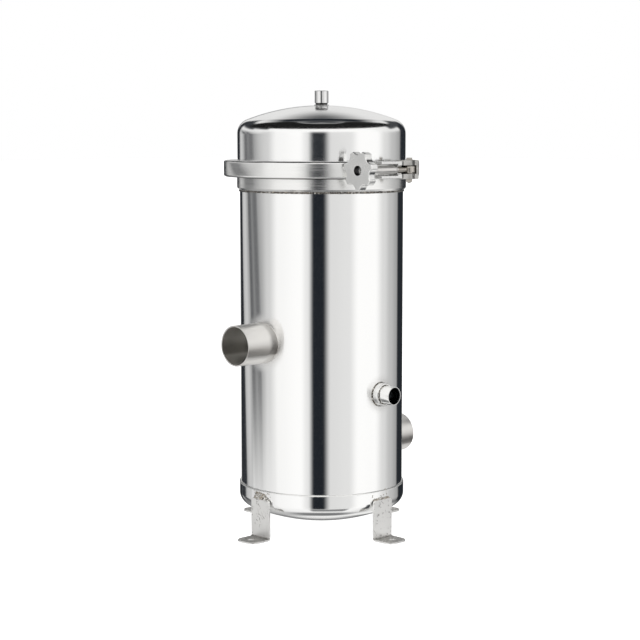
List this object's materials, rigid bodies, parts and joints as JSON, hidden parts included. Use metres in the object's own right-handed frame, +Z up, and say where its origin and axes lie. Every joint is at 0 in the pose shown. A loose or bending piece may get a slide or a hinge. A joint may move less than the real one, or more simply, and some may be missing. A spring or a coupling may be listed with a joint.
{
  "type": "cartridge filter",
  "caption": "Upright stainless steel cartridge filter housing with a domed lid held by a band clamp and star knob, side pipe stubs and bolt-down feet.",
  "frame": {"origin": "on the housing axis at the floor, in the plane of the feet's undersides", "axes": "+Z up along the housing axis, inlet along -X, outlet along +X, side nozzle and clamp bolt along -Y"},
  "size_m": [0.4326, 0.4229, 0.8085],
  "materials": {
    "mirror_steel": "mirror polished stainless steel",
    "satin_steel": "satin turned stainless steel",
    "pipe_steel": "bead blasted stainless steel",
    "cast_steel": "tumbled cast stainless steel",
    "foot_steel": "pickled stainless plate",
    "fastener_steel": "bright machined stainless steel",
    "spring_steel": "drawn spring wire",
    "seal_rubber": "moulded rubber",
    "seat_plastic": "moulded polypropylene",
    "filter_media": "wound polypropylene yarn"
  },
  "bodies": {
    "housing": {"shell": "mirror_steel", "bottom_head": "mirror_steel", "shell_flange": "satin_steel", "lid_seal": "seal_rubber", "inlet_pipe": "pipe_steel", "outlet_pipe": "pipe_steel", "side_nozzle": "mirror_steel", "side_nozzle_collar": "satin_steel", "tube_plate": "satin_steel", "plate_ledge": "satin_steel", "cartridge_seats": "seat_plastic", "tie_rod": "fastener_steel", "tie_rod_nuts": "fastener_steel", "foot_right": "foot_steel", "foot_back": "foot_steel", "foot_left": "foot_steel", "foot_front": "foot_steel", "cartridge_01": "filter_media", "cartridge_02": "filter_media", "cartridge_03": "filter_media", "cartridge_04": "filter_media", "cartridge_05": "filter_media", "cartridge_06": "filter_media", "cartridge_07": "filter_media", "cartridge_08": "filter_media", "cartridge_09": "filter_media", "cartridge_10": "filter_media", "cartridge_11": "filter_media", "cartridge_12": "filter_media", "spring_cups": "seat_plastic"},
    "lid": {"lid_dome": "mirror_steel", "lid_flange": "satin_steel", "vent_socket": "fastener_steel"},
    "clamp_a": {"clamp_half_a": "satin_steel", "ear_a": "cast_steel"},
    "clamp_b": {"clamp_half_b": "satin_steel", "ear_b": "cast_steel", "hinge_pin": "fastener_steel", "swing_pin": "fastener_steel", "swing_pin_nut": "fastener_steel"},
    "bolt": {"swing_bolt": "fastener_steel"},
    "washer": {"thrust_washer": "fastener_steel"},
    "knob": {"star_knob": "cast_steel", "knob_sleeve": "cast_steel"},
    "hold_down": {"hold_down_plate": "satin_steel", "hold_down_washer": "fastener_steel", "cartridge_springs": "spring_steel"},
    "nut": {"wing_nut": "fastener_steel"}
  },
  "joints": [
    {"name": "lid_lift", "type": "slide", "parent": "housing", "child": "lid", "axis": [0, 0, 1], "range_m": [0, 0.0007]},
    {"name": "clamp_a_open", "type": "hinge", "parent": "housing", "child": "clamp_a", "pos_m": [0, 0.187, 0.66798], "axis": [0, 0, -1], "range_deg": [0, 1.5]},
    {"name": "clamp_b_open", "type": "hinge", "parent": "housing", "child": "clamp_b", "pos_m": [0, 0.187, 0.66798], "axis": [0, 0, 1], "range_deg": [0, 1.5]},
    {"name": "bolt_swing", "type": "hinge", "parent": "clamp_b", "child": "bolt", "pos_m": [0.028, -0.191, 0.66798], "axis": [0, 0, 1], "range_deg": [0, 100]},
    {"name": "knob_feed", "type": "slide", "parent": "bolt", "child": "washer", "axis": [-1, 0, 0], "range_m": [0, 0.021]},
    {"name": "knob_turn", "type": "hinge", "parent": "washer", "child": "knob", "pos_m": [-0.05, -0.191, 0.66798], "axis": [-1, 0, 0], "range_deg": [0, 5040]},
    {"name": "hold_down_lift", "type": "slide", "parent": "housing", "child": "hold_down", "axis": [0, 0, 1], "range_m": [0, 0.00525]},
    {"name": "wing_nut_turn", "type": "hinge", "parent": "hold_down", "child": "nut", "pos_m": [0, 0, 0.75], "axis": [0, 0, 1], "range_deg": [0, 1080]}
  ],
  "couplings": [
    {"joint": "knob_turn", "follows": "knob_feed", "rad_per_m": 4188.8},
    {"joint": "clamp_a_open", "follows": "knob_feed", "rad_per_m": 1.2467},
    {"joint": "clamp_b_open", "follows": "knob_feed", "rad_per_m": 1.2467},
    {"joint": "lid_lift", "follows": "knob_feed", "ratio": 0.033333},
    {"joint": "wing_nut_turn", "follows": "hold_down_lift", "rad_per_m": 3590.4}
  ]
}
